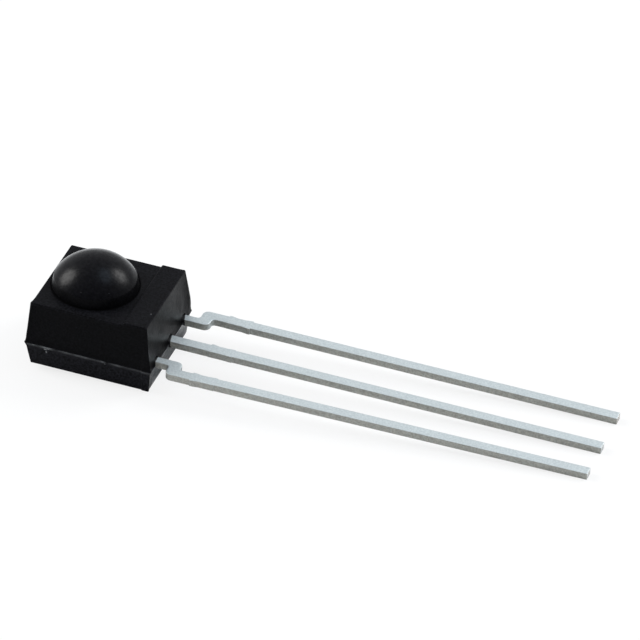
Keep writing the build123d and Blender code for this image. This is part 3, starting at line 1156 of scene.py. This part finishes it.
bare = mix_colours(map_range(grain["Patch"], 0.0, 0.45, 0.56, 0.68), cut_tin, cut_copper)
plated = mix_colours(mark_of(tree, "cut"), with_pale_lines, bare)

# A black film over the root of each lead: partly epoxy that bled there, partly painted shade at the root
ragged = map_range(grain["Height"], -0.02, 0.02)
film_edge = add_values(mark_of(tree, "past_film"), ragged, clamp=False)
film = map_range(film_edge, 1.0, 0.0, -0.015, 0.015)
shine = map_range(streaks, 0.58, 0.46, 0.3, 0.7)
rough = add_values(shine, map_range(sheared, 0.0, 0.12))
feed(shader, Base_Color=mix_colours(film, plated, film_black), Roughness=rough,
     Metallic=map_range(film, 1.0, 0.0))
bump(shader, grain["Height"], 0.000004)
print("tin nodes", len(tree.nodes))

# %% [markdown]
# ## Inner pieces
#
# The chips, their adhesive and the gold wires are sealed in the epoxy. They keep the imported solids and
# still get their own finishes, so that they read right if the housing is ever taken away.

# %% Silicon, adhesive and gold
silicon, tree, shader, place = start_material("silicon_finish")
blocks = add_node(tree, "ShaderNodeTexBrick")
feed(blocks, Vector=place, Scale=4000.0, Color1=(0.10, 0.12, 0.20), Color2=(0.17, 0.15, 0.24),
     Mortar=(0.32, 0.34, 0.38))
feed(shader, IOR=2.2, Base_Color=blocks.outputs["Color"],
     Roughness=map_range(blocks.outputs["Fac"], 0.12, 0.3))


def grained_metal(name, grain_size, patch_size, colours, roughness, metallic):
    """A metal whose colour varies in patches and whose roughness varies with its grain."""
    material, tree, shader, place = start_material(name)
    grain = place_group(grain_group, place, Grain_Size_mm=grain_size, Patch_Size_mm=patch_size)
    feed(shader, Metallic=metallic, Base_Color=mix_colours(grain["Patch"], *colours),
         Roughness=map_range(grain["Height"], *roughness))
    return material, tree, shader, grain


adhesive, tree, shader, grain = grained_metal(
    "die_adhesive_finish", 0.02, 0.2, ((0.5, 0.5, 0.48), (0.72, 0.72, 0.7)), (0.4, 0.7), 0.6)
bump(shader, grain["Height"], 0.000004)
gold = grained_metal(
    "gold_finish", 0.01, 0.1, ((0.86, 0.62, 0.22), (0.94, 0.74, 0.34)), (0.15, 0.3), 1.0)[0]

# %% Dressing the pieces
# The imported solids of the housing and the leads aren't shown, and take the finishes of the pieces for them
finishes = {"housing": epoxy, "lead": tin, "chip": silicon, "die_bond": adhesive, "wire": gold}
dress(housing, epoxy)
for piece in leads.values():
    dress(piece, tin)
for node, piece in frame["nodes"].items():
    for ending, finish in finishes.items():
        if node.endswith(ending):
            dress(piece, finish)
            print(node, "gets", finish.name)

# %% [markdown]
# ## Bench and light
#
# The photograph was taken in soft light on white. A pale bench lies under the part, the world is a pale sky
# that is brightest behind the part, and two soft lamps stand where the lens shows their reflections: one at
# the left and one behind to the right. Each lamp is given by its direction, the angles that it spans, its
# brightness and its colour. A fainter bluish one over the part gives the cool sheen on top of the lens.

# %% Bench
bench_half = 1.5
paper_white_share = 0.8
bench_mesh = bpy.data.meshes.new("bench")
bench_corners = [(x * bench_half, y * bench_half, 0.0) for x, y in ((-1, -1), (1, -1), (1, 1), (-1, 1))]
bench_mesh.from_pydata(bench_corners, [], [(0, 1, 2, 3)])
bench = new_object("bench", bench_mesh)
paper, tree, shader, place = start_material("bench_paper")
grain = place_group(grain_group, place, Grain_Size_mm=0.5, Patch_Size_mm=40.0)
paper_colour = mix_colours(grain["Patch"], (0.84, 0.84, 0.84), (0.86, 0.86, 0.86))
feed(shader, Specular_IOR_Level=0.1, Base_Color=paper_colour, Roughness=0.9)
# The camera sees the paper partly as plain white, so its shadow is as faint as on an overexposed sheet
white = add_node(tree, "ShaderNodeEmission")
seen = add_node(tree, "ShaderNodeLightPath").outputs["Is Camera Ray"]
blend = add_node(tree, "ShaderNodeMixShader")
feed(blend, map_range(seen, 0.0, paper_white_share), shader.outputs[0], white.outputs[0])
output = next(node for node in tree.nodes if node.type == "OUTPUT_MATERIAL")
feed(output, Surface=blend.outputs[0])
dress(bench, paper)

# %% World
brightest_way = (-0.3, 0.85, 0.42)
dim_sky = (0.3, 0.31, 0.325)
bright_sky = (0.76, 0.775, 0.79)
world = bpy.data.worlds.new("pale_room")
world.use_nodes = True
sky = world.node_tree
background = next(node for node in sky.nodes if node.type == "BACKGROUND")
way = add_node(sky, "ShaderNodeTexCoord").outputs["Generated"]
towards_back = vector_step("DOT_PRODUCT", way, brightest_way)
brightness = map_range(towards_back, 0.0, 1.0, -0.6, 0.9)
feed(background, Color=mix_colours(brightness, dim_sky, bright_sky), Strength=1.0)
bpy.context.scene.world = world

# %% Lamps
lamp_distance = 0.3
lamps = (
    ("left_lamp", 180, 33, 26, 32, 11.0, (1.0, 0.99, 0.97)),
    ("back_right_lamp", 42, 36, 24, 28, 9.0, (1.0, 1.0, 1.0)),
    ("top_lamp", 25, 68, 34, 26, 2.0, (0.62, 0.8, 1.0)),
)
target = Vector(to_frame((lens_axis, 0, lens_side_height)))
for name, azimuth, elevation, span, rise, brightness, colour in lamps:
    level = cos(radians(elevation))
    direction = Vector((cos(radians(azimuth)) * level, sin(radians(azimuth)) * level,
                        sin(radians(elevation))))
    data = bpy.data.lights.new(name, "AREA")
    data.shape = "ELLIPSE"
    data.size = 2 * lamp_distance * tan(radians(span / 2))
    data.size_y = 2 * lamp_distance * tan(radians(rise / 2))
    data.energy = brightness * pi * data.size * data.size_y * pi / 4
    data.color = colour
    aimed(name, data, target + lamp_distance * direction, -direction)
    print(name, "power", round(data.energy, 3), "W")

# %% [markdown]
# ## The end
#
# The dressed part keeps to the imported model's box, but for the flash and the swell of the corners, which go
# past it by less than a tenth of a millimetre.

# %% Finish
bpy.context.scene.view_settings.view_transform = "Standard"
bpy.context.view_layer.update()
